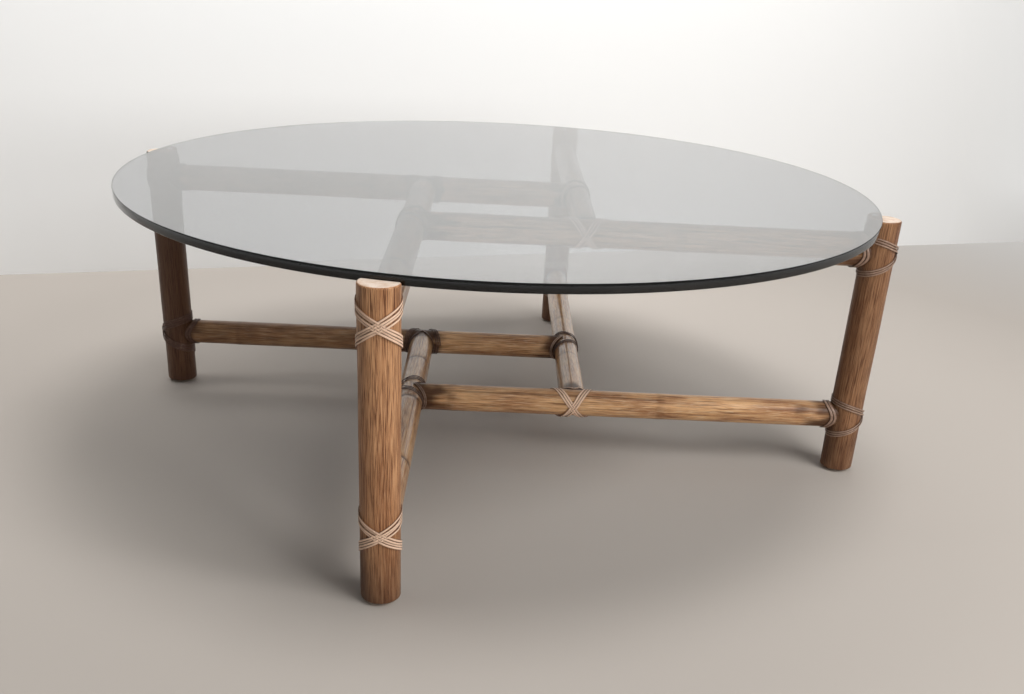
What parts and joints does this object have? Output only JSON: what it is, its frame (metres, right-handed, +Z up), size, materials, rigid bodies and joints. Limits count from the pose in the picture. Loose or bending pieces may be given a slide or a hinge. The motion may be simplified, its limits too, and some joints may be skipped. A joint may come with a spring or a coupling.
{
  "type": "round glass coffee table",
  "caption": "Low round table: a loose smoked glass top sits in seats cut in upright rattan legs, tied by lashed rails in a pinwheel.",
  "frame": {"origin": "on the floor, below the centre of the glass", "axes": "+Z up, -Y towards the front leg, +X towards the right leg"},
  "size_m": [1.2644, 1.2644, 0.439],
  "materials": {
    "smoked_glass": "polished, grey tint",
    "leg_cane": "lacquered cane with lengthwise grain",
    "rail_cane": "glossy lacquered cane",
    "rawhide_lace": "satin rawhide",
    "hardwood": "bare",
    "glide": "satin",
    "clear_pad": "soft clear"
  },
  "bodies": {
    "base": {"glass_pad_back": "clear_pad", "glass_pad_front": "clear_pad", "glass_pad_left": "clear_pad", "glass_pad_right": "clear_pad", "glide_back": "glide", "glide_front": "glide", "glide_left": "glide", "glide_right": "glide", "leg_back": "leg_cane", "leg_front": "leg_cane", "leg_left": "leg_cane", "leg_right": "leg_cane", "lower_leg_dowel_back": "hardwood", "lower_leg_dowel_front": "hardwood", "lower_leg_dowel_left": "hardwood", "lower_leg_dowel_right": "hardwood", "lower_leg_lashing_back": "rawhide_lace", "lower_leg_lashing_front": "rawhide_lace", "lower_leg_lashing_left": "rawhide_lace", "lower_leg_lashing_right": "rawhide_lace", "lower_rail_back": "rail_cane", "lower_rail_front": "rail_cane", "lower_rail_left": "rail_cane", "lower_rail_right": "rail_cane", "lower_tee_dowel_back": "hardwood", "lower_tee_dowel_front": "hardwood", "lower_tee_dowel_left": "hardwood", "lower_tee_dowel_right": "hardwood", "lower_tee_lashing_back": "rawhide_lace", "lower_tee_lashing_front": "rawhide_lace", "lower_tee_lashing_left": "rawhide_lace", "lower_tee_lashing_right": "rawhide_lace", "upper_leg_dowel_back": "hardwood", "upper_leg_dowel_front": "hardwood", "upper_leg_dowel_left": "hardwood", "upper_leg_dowel_right": "hardwood", "upper_leg_lashing_back": "rawhide_lace", "upper_leg_lashing_front": "rawhide_lace", "upper_leg_lashing_left": "rawhide_lace", "upper_leg_lashing_right": "rawhide_lace", "upper_rail_back": "rail_cane", "upper_rail_front": "rail_cane", "upper_rail_left": "rail_cane", "upper_rail_right": "rail_cane", "upper_tee_dowel_back": "hardwood", "upper_tee_dowel_front": "hardwood", "upper_tee_dowel_left": "hardwood", "upper_tee_dowel_right": "hardwood", "upper_tee_lashing_back": "rawhide_lace", "upper_tee_lashing_front": "rawhide_lace", "upper_tee_lashing_left": "rawhide_lace", "upper_tee_lashing_right": "rawhide_lace"},
    "glass_top": {"glass_top": "smoked_glass"}
  },
  "joints": [
    {"name": "glass_lift", "type": "slide", "parent": "base", "child": "glass_top", "axis": [0, 0, 1], "range_m": [0, 0.15]}
  ]
}
